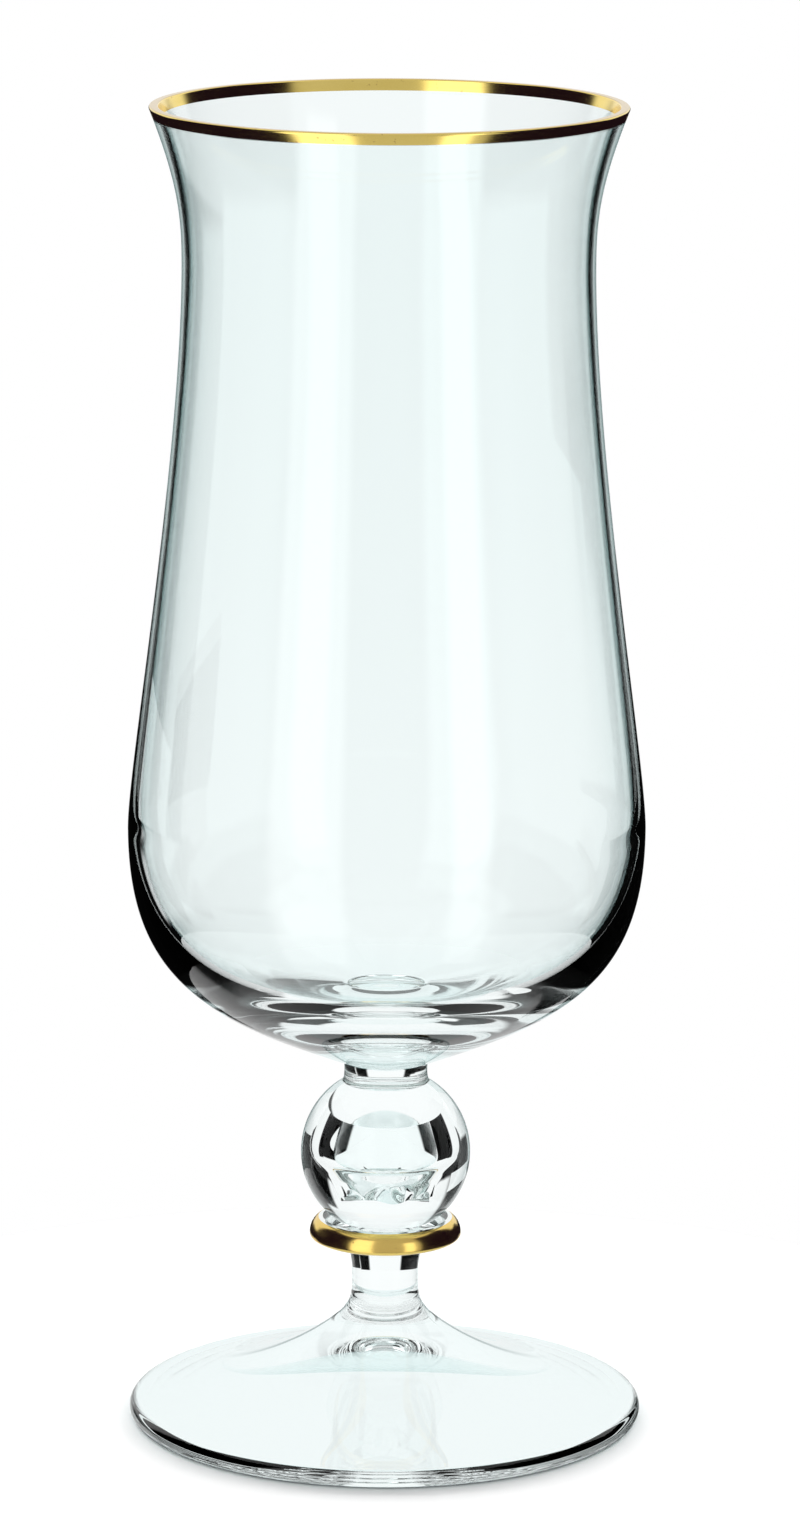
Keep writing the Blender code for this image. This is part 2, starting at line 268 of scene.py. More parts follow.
@dataclass(frozen=True)
class GlassFinish(Finish):
    """Clear blown glass with a faint green tint, soft waves and the ghost of a polishing cloth."""

    tint: Colour = (0.93, 0.98, 0.978)
    low_tint: Colour = (0.953, 0.992, 0.99)
    fade: Edge = (0.135, 0.11)
    streaks: Grain = Grain(55.0, 3.0, upward=0.25)
    streak_share: float = 0.3
    # Edge-on colour: partly the glass's own tint along its longer path, partly painted shade of the dark
    # edge line.
    edge_tint_and_shade: Colour = (0.08, 0.46, 0.46)
    edge_fall: float = 5.0
    shadow_tone: Colour = (0.45, 0.55, 0.55)
    shade: float = 0.0
    refraction: float = 1.5
    gloss: Colour = (0.8, 0.8, 0.8)
    cloth: Grain = Grain(165.0, 4.0, around=0.4)
    cloth_edge: Edge = (0.62, 0.3)
    smear: float = 0.012
    waves: Grain = Grain(55.0, 1.0, around=0.6)
    wave_strength: float = 0.02
    wave_height: float = 1.0 * MM

    def paint(self, graph: Graph) -> None:
        """Paint glass that is tinted more towards its top, darker teal where it is seen edge-on, and
        shades the table if asked.

        Args:
            graph: The material's node tree.
        """
        streaks = (graph.noise(self.streaks) - NOISE_MIDDLE) * self.streak_share
        strength = graph.part(graph.place(), "Z").above(*self.fade) + streaks
        face = graph.mix(strength, self.low_tint, self.tint)
        # Edge-on the glass is painted darker teal: partly its tint along the longer path, partly painted
        # shade of the dark edge line.
        grazing = graph.node("ShaderNodeLayerWeight", output="Facing") ** self.edge_fall
        bump = {
            "Strength": self.wave_strength,
            "Distance": self.wave_height,
            "Height": graph.noise(self.waves),
        }
        inputs = {
            "Base Color": graph.mix(grazing, face, self.edge_tint_and_shade),
            "Roughness": self.smear * graph.noise(self.cloth).above(*self.cloth_edge),
            "Transmission Weight": 1.0,
            "IOR": self.refraction,
            "Specular Tint": self.gloss,
            "Normal": graph.node("ShaderNodeBump", None, bump),
        }
        glass = graph.node("ShaderNodeBsdfPrincipled", None, inputs)
        if self.shade:
            dark = graph.node("ShaderNodeBsdfDiffuse", None, {"Color": self.shadow_tone})
            glass = graph.blend(graph.ray(Ray.MATT) * self.shade, glass, dark)
        graph.surface(glass)


@dataclass(frozen=True)
class FusedFinish(Finish):
    """The inside of a fused seam: the glass runs on through it, so nothing of it shows."""

    name: str = "fused_seam"

    def paint(self, graph: Graph) -> None:
        """Paint the seam see-through."""
        graph.surface(graph.node("ShaderNodeBsdfPrincipled", None, {"Alpha": 0.0}))


@dataclass(frozen=True)
class GoldFinish(Finish):
    """Fired and burnished gold, with brush lines round the glass and worn spots."""

    bright: Colour = (1.0, 0.80, 0.26)
    deep: Colour = (0.81, 0.60, 0.12)
    dim_gold: Colour = (0.42, 0.27, 0.09)
    # A faint painted dark-red glow of the gold, not a lamp.
    painted_glow: Colour = (0.008, 0.002, 0.004)
    lines: Grain = Grain(900.0, 3.0, around=0.06)
    line_share: float = 0.5
    line_strength: float = 0.12
    line_height: float = 0.05 * MM
    patches: Grain = Grain(225.0, 3.0)
    patch_share: float = 0.3
    wear: Grain = Grain(1440.0)
    wear_edge: Edge = (0.70, 0.06)
    wear_share: float = 0.5
    wear_dulling: float = 0.1
    dark_top_share: float = 0.0
    top_edge: Edge = (0.8, 0.3)
    polish: float = 0.13
    brush: float = 0.06

    def paint(self, graph: Graph) -> None:
        """Paint gold that is brushed round the axis, worn in spots and, if asked, darker where it faces
        up.

        Args:
            graph: The material's node tree.
        """
        lines = graph.noise(self.lines)
        deeper = lines * self.line_share + graph.noise(self.patches) * self.patch_share
        worn = graph.noise(self.wear).above(*self.wear_edge)
        upward = graph.part(graph.node("ShaderNodeNewGeometry", output="Normal"), "Z")
        gold = graph.mix(deeper, self.bright, self.deep)
        # Where its surface faces up, the gold is blended towards the dim gold.
        gold = graph.mix(upward.above(*self.top_edge) * self.dark_top_share, gold, self.dim_gold)
        bump = {"Strength": self.line_strength, "Distance": self.line_height, "Height": lines}
        inputs = {
            "Base Color": graph.mix(worn * self.wear_share, gold, self.dim_gold),
            "Metallic": 1.0,
            "Roughness": self.polish + self.brush * (lines - NOISE_MIDDLE) + self.wear_dulling * worn,
            # The gold glows faintly dark red: painted light that lifts its darkest parts.
            "Emission Color": self.painted_glow,
            "Emission Strength": 1.0,
            "Normal": graph.node("ShaderNodeBump", None, bump),
        }
        graph.surface(graph.node("ShaderNodeBsdfPrincipled", None, inputs))


@dataclass(frozen=True)
class GoldBackFinish(Finish):
    """The back of the fired gold, which the glass shows as a pale mirror."""

    name: str = "gold_back"
    pale: Colour = (0.93, 0.96, 0.95)
    grey: Colour = (0.86, 0.90, 0.89)
    cloud: Grain = Grain(300.0, 3.0)
    polish: float = 0.10
    polish_floor: float = 0.5

    def paint(self, graph: Graph) -> None:
        """Paint a clouded mirror.

        Args:
            graph: The material's node tree.
        """
        cloud = graph.noise(self.cloud)
        inputs = {
            "Base Color": graph.mix(cloud, self.pale, self.grey),
            "Metallic": 1.0,
            "Roughness": self.polish * (self.polish_floor + cloud),
        }
        graph.surface(graph.node("ShaderNodeBsdfPrincipled", None, inputs))


@dataclass(frozen=True)
class TableFinish(Finish):
    """White sheet of the table, which takes the shade of the glass and glows white seen through it."""

    name: str = "table_white"
    paper: Colour = (0.95, 0.95, 0.95)
    speck_tone: Colour = (0.92, 0.92, 0.92)
    speck: Grain = Grain(900.0, 3.0)
    speck_share: float = 0.1
    glow: float = 1.0
    seen_through_share: float = 0.97
    polish: float = 0.12
    polish_tone: Colour = (0.92, 0.92, 0.92)

    def paint(self, graph: Graph) -> None:
        """Paint the sheet as it is seen direct, through the glass and in a mirror.

        Args:
            graph: The material's node tree.
        """
        colour = graph.mix(graph.noise(self.speck) * self.speck_share, self.paper, self.speck_tone)
        sheet = graph.node("ShaderNodeBsdfDiffuse", None, {"Color": colour})
        light = graph.node("ShaderNodeEmission", None, {"Strength": self.glow})
        matt = graph.blend(graph.ray(Ray.THROUGH) * self.seen_through_share, sheet, light)
        sheen = {"Color": self.polish_tone, "Roughness": self.polish}
        gloss = graph.node("ShaderNodeBsdfGlossy", None, sheen)
        graph.surface(graph.blend(graph.mirrored_ray(), matt, gloss))


@dataclass(frozen=True)
class CardFinish(Finish):
    """Black flock of a studio card."""

    name: str = "card_black"
    flock: Colour = (0.004, 0.004, 0.004)
    worn: Colour = (0.007, 0.007, 0.007)
    nap: Grain = Grain(60.0)

    def paint(self, graph: Graph) -> None:
        """Paint the flock, a little worn."""
        colour = graph.mix(graph.noise(self.nap), self.flock, self.worn)
        graph.surface(graph.node("ShaderNodeBsdfDiffuse", None, {"Color": colour}))


@dataclass(frozen=True)
class PaleCardFinish(Finish):
    """White paper of a studio card, lit from the front, that the gold doesn't mirror."""

    name: str = "card_white"
    lit: Colour = (1.0, 1.0, 1.0)
    dull: Colour = (0.96, 0.97, 0.97)
    cloud: Grain = Grain(20.0)

    def paint(self, graph: Graph) -> None:
        """Paint the lit paper, clear to a mirror.

        Args:
            graph: The material's node tree.
        """
        colour = graph.mix(graph.noise(self.cloud), self.lit, self.dull)
        paper = graph.node("ShaderNodeEmission", None, {"Color": colour})
        clear = graph.node("ShaderNodeBsdfTransparent")
        graph.surface(graph.blend(graph.mirrored_ray(), paper, clear))


BOWL_CLEAR = GlassFinish("bowl_clear")
STEM_CLEAR = GlassFinish("stem_clear", gloss=(0.2, 0.2, 0.2))
FOOT_CLEAR = GlassFinish(
    "foot_clear", low_tint=(0.908, 0.979, 0.977), edge_tint_and_shade=(0.45, 0.72, 0.72), shade=0.9
)
RIM_GOLD = GoldFinish("rim_gold", dark_top_share=0.7)
COLLAR_GOLD = GoldFinish("collar_gold", bright=(0.95, 0.70, 0.21), deep=(0.66, 0.45, 0.09), polish=0.17)


def point(radius: float, height: float) -> Vector:
    """Return a profile point at a radius from the axis and a height above the table."""
    return Vector((radius, 0.0, height))


def polar(length: float, angle: float) -> Vector:
    """Return a step of a length at an angle above the horizontal, away from the axis."""
    return point(length * math.cos(angle), length * math.sin(angle))


def curve(start: Vector, leave: Vector, arrive: Vector, end: Vector, segments: int) -> list[Vector]:
    """Return the points of a Bezier stretch, given its first point, two handles and last point."""
    return interpolate_bezier(start, leave, arrive, end, segments + 1)


def round_edge(
    centre: Vector, reach: float, rise: float, first: float, last: float, segments: int
) -> list[Vector]:
    """Return points on an ellipse.

    Args:
        centre: Middle of the ellipse.
        reach: Half of its width.
        rise: Half of its height.
        first: Angle of the first point, in degrees from the horizontal.
        last: Angle of the last point.
        segments: Number of steps.

    Returns:
        The points, both ends included.
    """
    points = []
    for index in range(segments + 1):
        angle = math.radians(first + (last - first) * index / segments)
        points.append(centre + point(reach * math.cos(angle), rise * math.sin(angle)))
    return points


def straight(start: Vector, end: Vector, segments: int = 1) -> list[Vector]:
    """Return the points of a straight stretch, both ends included."""
    return [start.lerp(end, index / segments) for index in range(segments + 1)]


@dataclass(frozen=True)
class Stretch:
    """A run of profile points and the skin of the surface that is turned from it."""

    points: list[Vector]
    skin: Skin = Skin.SHOWN


@dataclass(frozen=True)
class Ripple:
    """A wave round the axis: how many crests it has, how high they are, and where it starts."""

    crests: int
    height: float
    start: float

    def at(self, angle: float) -> float:
        """Return how high the wave is at an angle round the axis."""
        return self.height * math.cos(self.crests * angle + self.start)


@dataclass
class Draft:
    """A mesh in the making: its points, its faces and the skin of each face."""

    places: list[Vector] = field(default_factory=list)
    faces: list[tuple[int, ...]] = field(default_factory=list)
    skins: list[int] = field(default_factory=list)


@dataclass
class Lathe:
    """Turns profiles into meshes and hands the pieces to the frame."""

    steps: int = 256
    sharp_angle: float = math.radians(40.0)
    pole: float = 1e-7
    pieces: list[bpy.types.Object] = field(default_factory=list)

    def turn(
        self,
        name: str,
        shells: list[list[Stretch]],
        finishes: list[bpy.types.Material],
        slot: Slot,
        wobble: Wobble | None = None,
    ) -> None:
        """Turn profiles round the axis into one piece that stands for the node of its name.

        Args:
            name: Name of the node that the piece replaces.
            shells: Closed profiles, each a list of stretches that follow on from each other.
            finishes: The material of the shown skin, and that of the hidden one.
            slot: The record's slot for the piece's finish; not used.
            wobble: Moves a point of the turned surface, given the point and its angle.
        """
        draft = Draft()
        for shell in shells:
            self.add_shell(draft, shell, wobble)
        mesh = bpy.data.meshes.new(name)
        mesh.from_pydata(draft.places, [], draft.faces)
        for finish in finishes:
            mesh.materials.append(finish)
        mesh.polygons.foreach_set("material_index", draft.skins)
        mesh.shade_smooth()
        mesh.set_sharp_from_angle(angle=self.sharp_angle)
        mesh.validate()
        piece = bpy.data.objects.new(name + "_dressed", mesh)
        bpy.context.scene.collection.objects.link(piece)
        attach(piece, BODY)
        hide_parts(name)
        self.pieces.append(piece)

    def add_shell(self, draft: Draft, shell: list[Stretch], wobble: Wobble | None) -> None:
        """Turn one closed profile and add it to a mesh in the making.

        Args:
            draft: The mesh so far.
            shell: Stretches of the profile, in order, each starting where the last ended.
            wobble: Moves a point of the turned surface.
        """
        rows = [shell[0].points[0]]
        kinds = []
        for stretch in shell:
            rows.extend(stretch.points[1:])
            kinds.extend([stretch.skin.value] * (len(stretch.points) - 1))
        joined = (rows[0] - rows[-1]).length < self.pole and rows[0].x > self.pole
        if joined:
            rows.pop()
        rings = [self.add_ring(draft, row, wobble) for row in rows]
        if joined:
            rings.append(rings[0])
        for lower, upper, kind in zip(rings, rings[1:], kinds):
            made = self.bridge(lower, upper)
            draft.faces.extend(made)
            draft.skins.extend([kind] * len(made))

    def add_ring(self, draft: Draft, row: Vector, wobble: Wobble | None) -> list[int]:
        """Add the ring that one profile point is turned into.

        Args:
            draft: The mesh so far.
            row: The profile point.
            wobble: Moves a point of the turned surface.

        Returns:
            The numbers of the ring's points: one on the axis, or one for each step.
        """
        count = 1 if row.x < self.pole else self.steps
        first = len(draft.places)
        for index in range(count):
            angle = math.tau * index / self.steps
            spot = wobble(row, angle) if wobble else row
            draft.places.append(Vector((spot.x * math.cos(angle), spot.x * math.sin(angle), spot.z)))
        return list(range(first, first + count))

    @staticmethod
    def bridge(first: list[int], second: list[int]) -> list[tuple[int, ...]]:
        """Return the faces between two rings.

        Args:
            first: Points of the ring that comes first on the profile.
            second: Points of the ring that comes next.

        Returns:
            Faces that look to the right of the profile's way.
        """
        if len(first) == 1:
            count = len(second)
            return [(first[0], second[i], second[(i + 1) % count]) for i in range(count)]
        count = len(first)
        if len(second) == 1:
            return [(first[i], second[0], first[(i + 1) % count]) for i in range(count)]
        ends = [(i, (i + 1) % count) for i in range(count)]
        return [(first[i], second[i], second[j], first[j]) for i, j in ends]


def reach_of(node: str) -> float:
    """Return the radius of a node of the frame."""
    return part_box(node)[1].x


def foot_of(node: str) -> float:
    """Return the height of the lowest point of a node of the frame."""
    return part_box(node)[0].z


def top_of(node: str) -> float:
    """Return the height of the highest point of a node of the frame."""
    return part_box(node)[1].z


def seam_between(lower: str, upper: str) -> float:
    """Return the height at which two nodes of the frame are fused, in the middle of their gap."""
    return (top_of(lower) + foot_of(upper)) / 2


@dataclass
class Bowl:
    """The blown bowl and the gold film over its lip."""

    glass: bpy.types.Material
    fused: bpy.types.Material
    gold: bpy.types.Material
    gold_back: bpy.types.Material
    seam: float = seam_between("neck_button", "bowl")
    seam_radius: float = BOWL_SEAM_RADIUS
    top: float = top_of("rim_gilding")
    lip_radius: float = reach_of("rim_gilding")
    lip_thickness: float = 1.4 * MM
    lip_edge_radius: float = 0.32 * MM
    flare_angle: float = math.radians(20.7)
    waist_radius: float = 30.6 * MM
    waist: float = 176.88 * MM
    belly_radius: float = reach_of("bowl")
    belly: float = 91.58 * MM
    base_slope: float = math.radians(22.9)
    waist_wall: float = 1.2 * MM
    belly_wall: float = 1.68 * MM
    base_thickness: float = 10.2 * MM
    hollow_lift: float = 2.0 * MM
    flare_fullness: float = 0.48
    waist_fullness: tuple[float, float] = (0.32, 0.337)
    belly_fullness: tuple[float, float] = (0.106, 0.656)
    base_fullness: float = 0.677
    hollow_waist_fullness: tuple[float, float] = (0.32, 0.275)
    hollow_belly_fullness: tuple[float, float] = (0.111, 0.967)
    floor_fullness: float = 0.498
    film: float = 0.20 * MM
    film_bite: float = FILM_BITE
    band_depth: float = 1.68 * MM
    lip_steps: int = 12
    flare_steps: int = 40
    side_steps: int = 60
    floor_steps: int = 80
    base_steps: int = 64

    def down_wall(self, start: Vector, depth: float) -> Vector:
        """Return the point down the flared wall from a start, at a depth below the lip's top."""
        drop = start.z - (self.top - depth)
        return start - point(drop * math.tan(self.flare_angle), drop)

    def lip_section(self, inset: float, depth: float) -> list[Vector]:
        """Return the lip's section: up the inside, over the flat top, and down the outside.

        Args:
            inset: Distance in from the gold's surface.
            depth: Where both sides end, below the top.

        Returns:
            The profile points.
        """
        lean = math.degrees(self.flare_angle)
        edge = self.lip_edge_radius
        bend = edge - inset
        flat = (self.lip_thickness - 2 * edge) / math.cos(self.flare_angle)
        outer_centre = point(self.lip_radius - edge, self.top - edge)
        inner_centre = outer_centre - point(flat, 0)
        inner = round_edge(inner_centre, bend, bend, 180 - lean, 90, self.lip_steps)
        outer = round_edge(outer_centre, bend, bend, 90, -lean, self.lip_steps)
        return [self.down_wall(inner[0], depth)] + inner + outer + [self.down_wall(outer[-1], depth)]

    def side(
        self, lip: Vector, waist: Vector, belly: Vector, fullness: tuple[float, float, float]
    ) -> list[Vector]:
        """Return the curve from under the lip, through the waist, to the widest part of the belly.

        Args:
            lip: Where the curve starts.
            waist: The narrowest place.
            belly: The widest place.
            fullness: How full the curve is above the waist, below it, and above the belly.

        Returns:
            Points from the top down.
        """
        flare_span = lip.z - waist.z
        belly_span = waist.z - belly.z
        flare = polar(flare_span * self.flare_fullness, math.pi / 2 - self.flare_angle)
        above, below, swell = fullness
        upper = curve(lip, lip - flare, waist + point(0, flare_span * above), waist, self.flare_steps)
        leave = waist - point(0, belly_span * below)
        arrive = belly + point(0, belly_span * swell)
        lower = curve(waist, leave, arrive, belly, self.side_steps)
        return upper + lower[1:]

    def outside(self) -> list[Vector]:
        """Return the outside from under the gold film down to the belly.

        Returns:
            Points from the top down.
        """
        lip = self.lip_section(0, self.band_depth)[-1]
        waist = point(self.waist_radius, self.waist)
        belly = point(self.belly_radius, self.belly)
        return self.side(lip, waist, belly, (*self.waist_fullness, self.belly_fullness[0]))

    def hollow_belly(self) -> Vector:
        """Return the widest place of the hollow."""
        return point(self.belly_radius - self.belly_wall, self.belly + self.hollow_lift)

    def inside(self) -> list[Vector]:
        """Return the wall of the hollow from the lip down to its widest place.

        Returns:
            Points from the top down.
        """
        lip = self.lip_section(0, self.band_depth)[0]
        waist = point(self.waist_radius - self.waist_wall, self.waist)
        fullness = (*self.hollow_waist_fullness, self.hollow_belly_fullness[0])
        return self.side(lip, waist, self.hollow_belly(), fullness)

    def hollow_floor(self) -> list[Vector]:
        """Return the curve from the middle of the hollow's floor out to its widest place.

        Returns:
            Points from the axis outwards.
        """
        belly = self.hollow_belly()
        floor = point(0, self.seam + self.base_thickness)
        leave = floor + point(belly.x * self.floor_fullness, 0)
        drop = (belly.z - floor.z) * self.hollow_belly_fullness[1]
        return curve(floor, leave, belly - point(0, drop), belly, self.floor_steps)

    def under_belly(self) -> list[Vector]:
        """Return the outside from the belly down to the seam with the neck button.

        Returns:
            Points from the top down.
        """
        belly = point(self.belly_radius, self.belly)
        seam = point(self.seam_radius, self.seam)
        drop = (self.belly - self.seam) * self.belly_fullness[1]
        span = (self.belly_radius - self.seam_radius) * self.base_fullness
        arrive = seam + polar(span, self.base_slope)
        return curve(belly, belly - point(0, drop), arrive, seam, self.base_steps)

    def film_shell(self) -> list[Stretch]:
        """Return the gold film over the lip.

        Returns:
            Its closed section: the gold that shows, and the back that is on the glass.
        """
        outer = self.lip_section(0, self.band_depth)
        inner = self.lip_section(self.film, self.band_depth)
        back = [outer[-1]] + inner[::-1] + [outer[0]]
        return [Stretch(outer), Stretch(back, Skin.HIDDEN)]

    def build(self, lathe: Lathe) -> None:
        """Turn the bowl and its gold film.

        Args:
            lathe: The lathe that makes the pieces.
        """
        under_gold = self.lip_section(self.film - self.film_bite, self.band_depth - self.film_bite)
        hollow = self.hollow_floor() + self.inside()[-2::-1]
        run = hollow + under_gold + self.outside() + self.under_belly()[1:]
        cap = straight(run[-1], point(0, self.seam))
        shell = [Stretch(run), Stretch(cap, Skin.HIDDEN)]
        lathe.turn("bowl", [shell], [self.glass, self.fused], Slot.BOWL_GLASS)
        lathe.turn("rim_gilding", [self.film_shell()], [self.gold, self.gold_back], Slot.RIM_GOLD)


@dataclass
class Stem:
    """The neck button, the hollow ball, the gilded collar and the leg."""

    glass: bpy.types.Material
    fused: bpy.types.Material
    gold: bpy.types.Material
    gold_back: bpy.types.Material
    bowl_seam: float = seam_between("neck_button", "bowl")
    bowl_seam_radius: float = BOWL_SEAM_RADIUS
    button_waist: float = 6.2 * MM
    ball_seam_radius: float = 6.5 * MM
    ball_radius: float = reach_of("ball_knop")
    ball_base: float = foot_of("ball_knop")
    ball_seat_radius: float = 5.0 * MM
    hollow_top: float = 4.74 * MM
    hollow_top_radius: float = 6.46 * MM
    hollow_top_handle: tuple[float, float] = (2.92 * MM, -8.0 * MM)
    hollow_bottom: float = -4.95 * MM
    hollow_bottom_radius: float = 4.52 * MM
    hollow_bottom_handle: tuple[float, float] = (2.11 * MM, 5.08 * MM)
    hollow_crown: float = 0.63 * MM
    floor_share: float = 0.62
    floor_reach: float = 2.0 * MM
    floor_spread: float = 0.35 * MM
    floor_spread_ripples: tuple[Ripple, ...] = (Ripple(5, 1.0, 0.6), Ripple(8, 0.7, 2.0))
    floor_sink: float = 0.25 * MM
    floor_sink_ripples: tuple[Ripple, ...] = (Ripple(3, 1.0, 1.1), Ripple(7, 0.6, 0.0))
    collar_base: float = seam_between("leg", "collar_ring")
    collar_top: float = top_of("collar_gilding")
    collar_radius: float = reach_of("collar_gilding")
    collar_reach: float = 2.0 * MM
    collar_edge_rise: float = 0.95 * MM
    collar_hem: float = 1.0 * MM
    bare_steps: int = 5
    bare_hem_steps: int = 9
    film: float = 0.25 * MM
    film_bite: float = FILM_BITE
    leg_base: float = seam_between("foot", "leg")
    leg_top_radius: float = 5.7 * MM
    leg_waist_radius: float = 5.0 * MM
    leg_waist: float = 21.4 * MM
    leg_foot_radius: float = LEG_SEAM_RADIUS
    leg_spread: float = math.radians(48.0)
    leg_fullness: float = 0.45
    button_steps: int = 24
    ball_steps: int = 96
    seat_steps: int = 24
    hollow_steps: int = 64
    floor_steps: int = 12
    roof_steps: int = 24
    edge_steps: int = 24
    leg_steps: int = 32

    def ball_centre(self) -> float:
        """Return the height of the ball's middle."""
        return self.ball_base + math.sqrt(self.ball_radius**2 - self.ball_seat_radius**2)

    def ball_seam(self) -> float:
        """Return the height at which the ball meets the neck button."""
        return self.ball_centre() + math.sqrt(self.ball_radius**2 - self.ball_seam_radius**2)

    def joint_angle(self) -> float:
        """Return where on the ball the collar's clear lip meets it, in degrees above the horizontal."""
        radius = math.sqrt(self.ball_radius**2 - (self.ball_centre() - self.collar_top) ** 2)
        return -math.degrees(math.acos(radius / self.ball_radius))

    def ball_arc(self, first: float, last: float, segments: int) -> list[Vector]:
        """Return points on the ball's outside, between two angles in degrees above the horizontal."""
        centre = point(0, self.ball_centre())
        return round_edge(centre, self.ball_radius, self.ball_radius, first, last, segments)

    def build(self, lathe: Lathe) -> None:
        """Turn every piece of the stem, from the top down.

        Args:
            lathe: The lathe that makes the pieces.
        """
        glass = [self.glass, self.fused]
        slot = Slot.STEM_GLASS
        lathe.turn("neck_button", [self.button_shell()], glass, slot)
        lathe.turn("ball_knop", [self.ball_shell(), self.hollow_shell()], glass, slot, self.settle)
        lathe.turn("collar_ring", [self.collar_shell()], glass, slot)
        lathe.turn("collar_gilding", [self.film_shell()], [self.gold, self.gold_back], Slot.COLLAR_GOLD)
        lathe.turn("leg", [self.leg_shell()], glass, slot)

    @staticmethod
    def capped(top: Vector, side: list[Vector], bottom: Vector) -> list[Stretch]:
        """Return a closed profile: a side that shows, between flat ends that are fused to other pieces.

        Args:
            top: Edge of the upper end.
            side: Points of the side, from the top down.
            bottom: Edge of the lower end.

        Returns:
            The profile.
        """
        cap = straight(point(0, top.z), top)
        base = straight(bottom, point(0, bottom.z))
        return [Stretch(cap, Skin.HIDDEN), Stretch(side), Stretch(base, Skin.HIDDEN)]

    def button_shell(self) -> list[Stretch]:
        """Return the neck button.

        Returns:
            Its profile, from the top down.
        """
        top = point(self.bowl_seam_radius, self.bowl_seam)
        bottom = point(self.ball_seam_radius, self.ball_seam())
        drop = (top.z - bottom.z) / 3
        leave = point(self.button_waist, top.z - drop)
        arrive = point(self.button_waist, bottom.z + drop)
        return self.capped(top, curve(top, leave, arrive, bottom, self.button_steps), bottom)

    def ball_shell(self) -> list[Stretch]:
        """Return the outside of the ball, fused to the button above and to the collar below.

        Returns:
            Its profile, from the top down.
        """
        seam_angle = math.degrees(math.acos(self.ball_seam_radius / self.ball_radius))
        outside = self.ball_arc(seam_angle, self.joint_angle(), self.ball_steps)
        seat = self.ball_arc(self.joint_angle(), -90, self.seat_steps)
        seat[-1].x = 0.0
        top = straight(point(0, self.ball_seam()), outside[0])
        return [Stretch(top, Skin.HIDDEN), Stretch(outside), Stretch(seat, Skin.HIDDEN)]

    def hollow_shell(self) -> list[Stretch]:
        """Return the air hollow in the ball.

        Returns:
            Its profile, from the floor up.
        """
        centre = self.ball_centre()
        top = point(self.hollow_top_radius, centre + self.hollow_top)
        bottom = point(self.hollow_bottom_radius, centre + self.hollow_bottom)
        leave = bottom + point(*self.hollow_bottom_handle)
        arrive = top + point(*self.hollow_top_handle)
        side = curve(bottom, leave, arrive, top, self.hollow_steps)
        floor = straight(point(0, bottom.z), bottom, self.floor_steps)
        crown = point(0, top.z + self.hollow_crown)
        near_top = point(top.x * 2 / 3, top.z + self.hollow_crown / 3)
        roof = curve(top, near_top, crown + point(top.x / 3, 0), crown, self.roof_steps)
        return [Stretch(floor), Stretch(side), Stretch(roof)]

    def settle(self, spot: Vector, angle: float) -> Vector:
        """Return where a point of the ball comes to rest: the hollow's floor sinks unevenly.

        Args:
            spot: The point, as turned.
            angle: Its place round the axis.

        Returns:
            The point, moved where it is on the floor of the hollow.
        """
        rise = spot.z - self.ball_centre() - self.hollow_bottom
        if spot.x > self.ball_radius * self.floor_share or abs(rise) >= self.floor_reach:
            return spot
        share = (1 - abs(rise) / self.floor_reach) * spot.x / self.hollow_bottom_radius
        spread = sum(ripple.at(angle) for ripple in self.floor_spread_ripples)
        sink = sum(ripple.at(angle) for ripple in self.floor_sink_ripples)
        return spot + point(self.floor_spread * share * spread, self.floor_sink * share * sink)

    def collar_edge(self, inset: float) -> list[Vector]:
        """Return the collar's egg-shaped edge from top to bottom.

        Args:
            inset: Distance in from the gold's surface.

        Returns:
            The profile points.
        """
        centre = point(self.collar_radius - self.collar_reach, self.collar_base + self.collar_edge_rise)
        reach = self.collar_reach - inset
        above = self.collar_top - centre.z - inset
        below = self.collar_edge_rise - inset
        upper = round_edge(centre, reach, above, 90, 0, self.edge_steps)
        lower = round_edge(centre, reach, below, 0, -90, self.edge_steps)
        return upper + lower[1:]

    def hem_radius(self) -> float:
        """Return how near to the axis the gold reaches under the collar."""
        return self.collar_radius - self.collar_reach - self.collar_hem

    def collar_shell(self) -> list[Stretch]:
        """Return the glass disc under the ball.

        Returns:
            Its profile, from the dish under the ball, round the edge, to the seam with the leg.
        """
        dish = self.ball_arc(-90, self.joint_angle(), self.seat_steps)
        dish[0].x = 0.0
        edge = self.collar_edge(self.film - self.film_bite)
        hem = point(self.hem_radius(), edge[-1].z)
        under = [hem, point(hem.x, self.collar_base), point(self.leg_top_radius, self.collar_base)]
        seam = straight(under[-1], point(0, self.collar_base))
        return [Stretch(dish, Skin.HIDDEN), Stretch([dish[-1]] + edge + under), Stretch(seam, Skin.HIDDEN)]

    def film_shell(self) -> list[Stretch]:
        """Return the gold film round the collar.

        Returns:
            Its closed section: the gold that shows, and the back that is on the glass.
        """
        hem = self.hem_radius()
        outer = self.collar_edge(0)
        inner = self.collar_edge(self.film)
        gilt = outer[self.bare_steps : -self.bare_hem_steps]
        under = outer[-self.bare_hem_steps - 1 :] + [point(hem, self.collar_base)]
        back = under + [point(hem, self.collar_base + self.film)] + inner[::-1]
        return [Stretch(gilt), Stretch(back + outer[: self.bare_steps + 1], Skin.HIDDEN)]

    def leg_shell(self) -> list[Stretch]:
        """Return the leg.

        Returns:
            Its profile, from the top down.
        """
        top = point(self.leg_top_radius, self.collar_base)
        waist = point(self.leg_waist_radius, self.leg_waist)
        bottom = point(self.leg_foot_radius, self.leg_base)
        rise = (top.z - waist.z) * self.leg_fullness
        drop = (waist.z - bottom.z) * self.leg_fullness
        lean = point((self.leg_top_radius + self.leg_waist_radius) / 2, top.z - rise)
        upper = curve(top, lean, waist + point(0, rise), waist, self.leg_steps)
        spread = polar(drop, math.pi - self.leg_spread)
        lower = curve(waist, waist - point(0, drop), bottom + spread, bottom, self.leg_steps)
        return self.capped(top, upper + lower[1:], bottom)


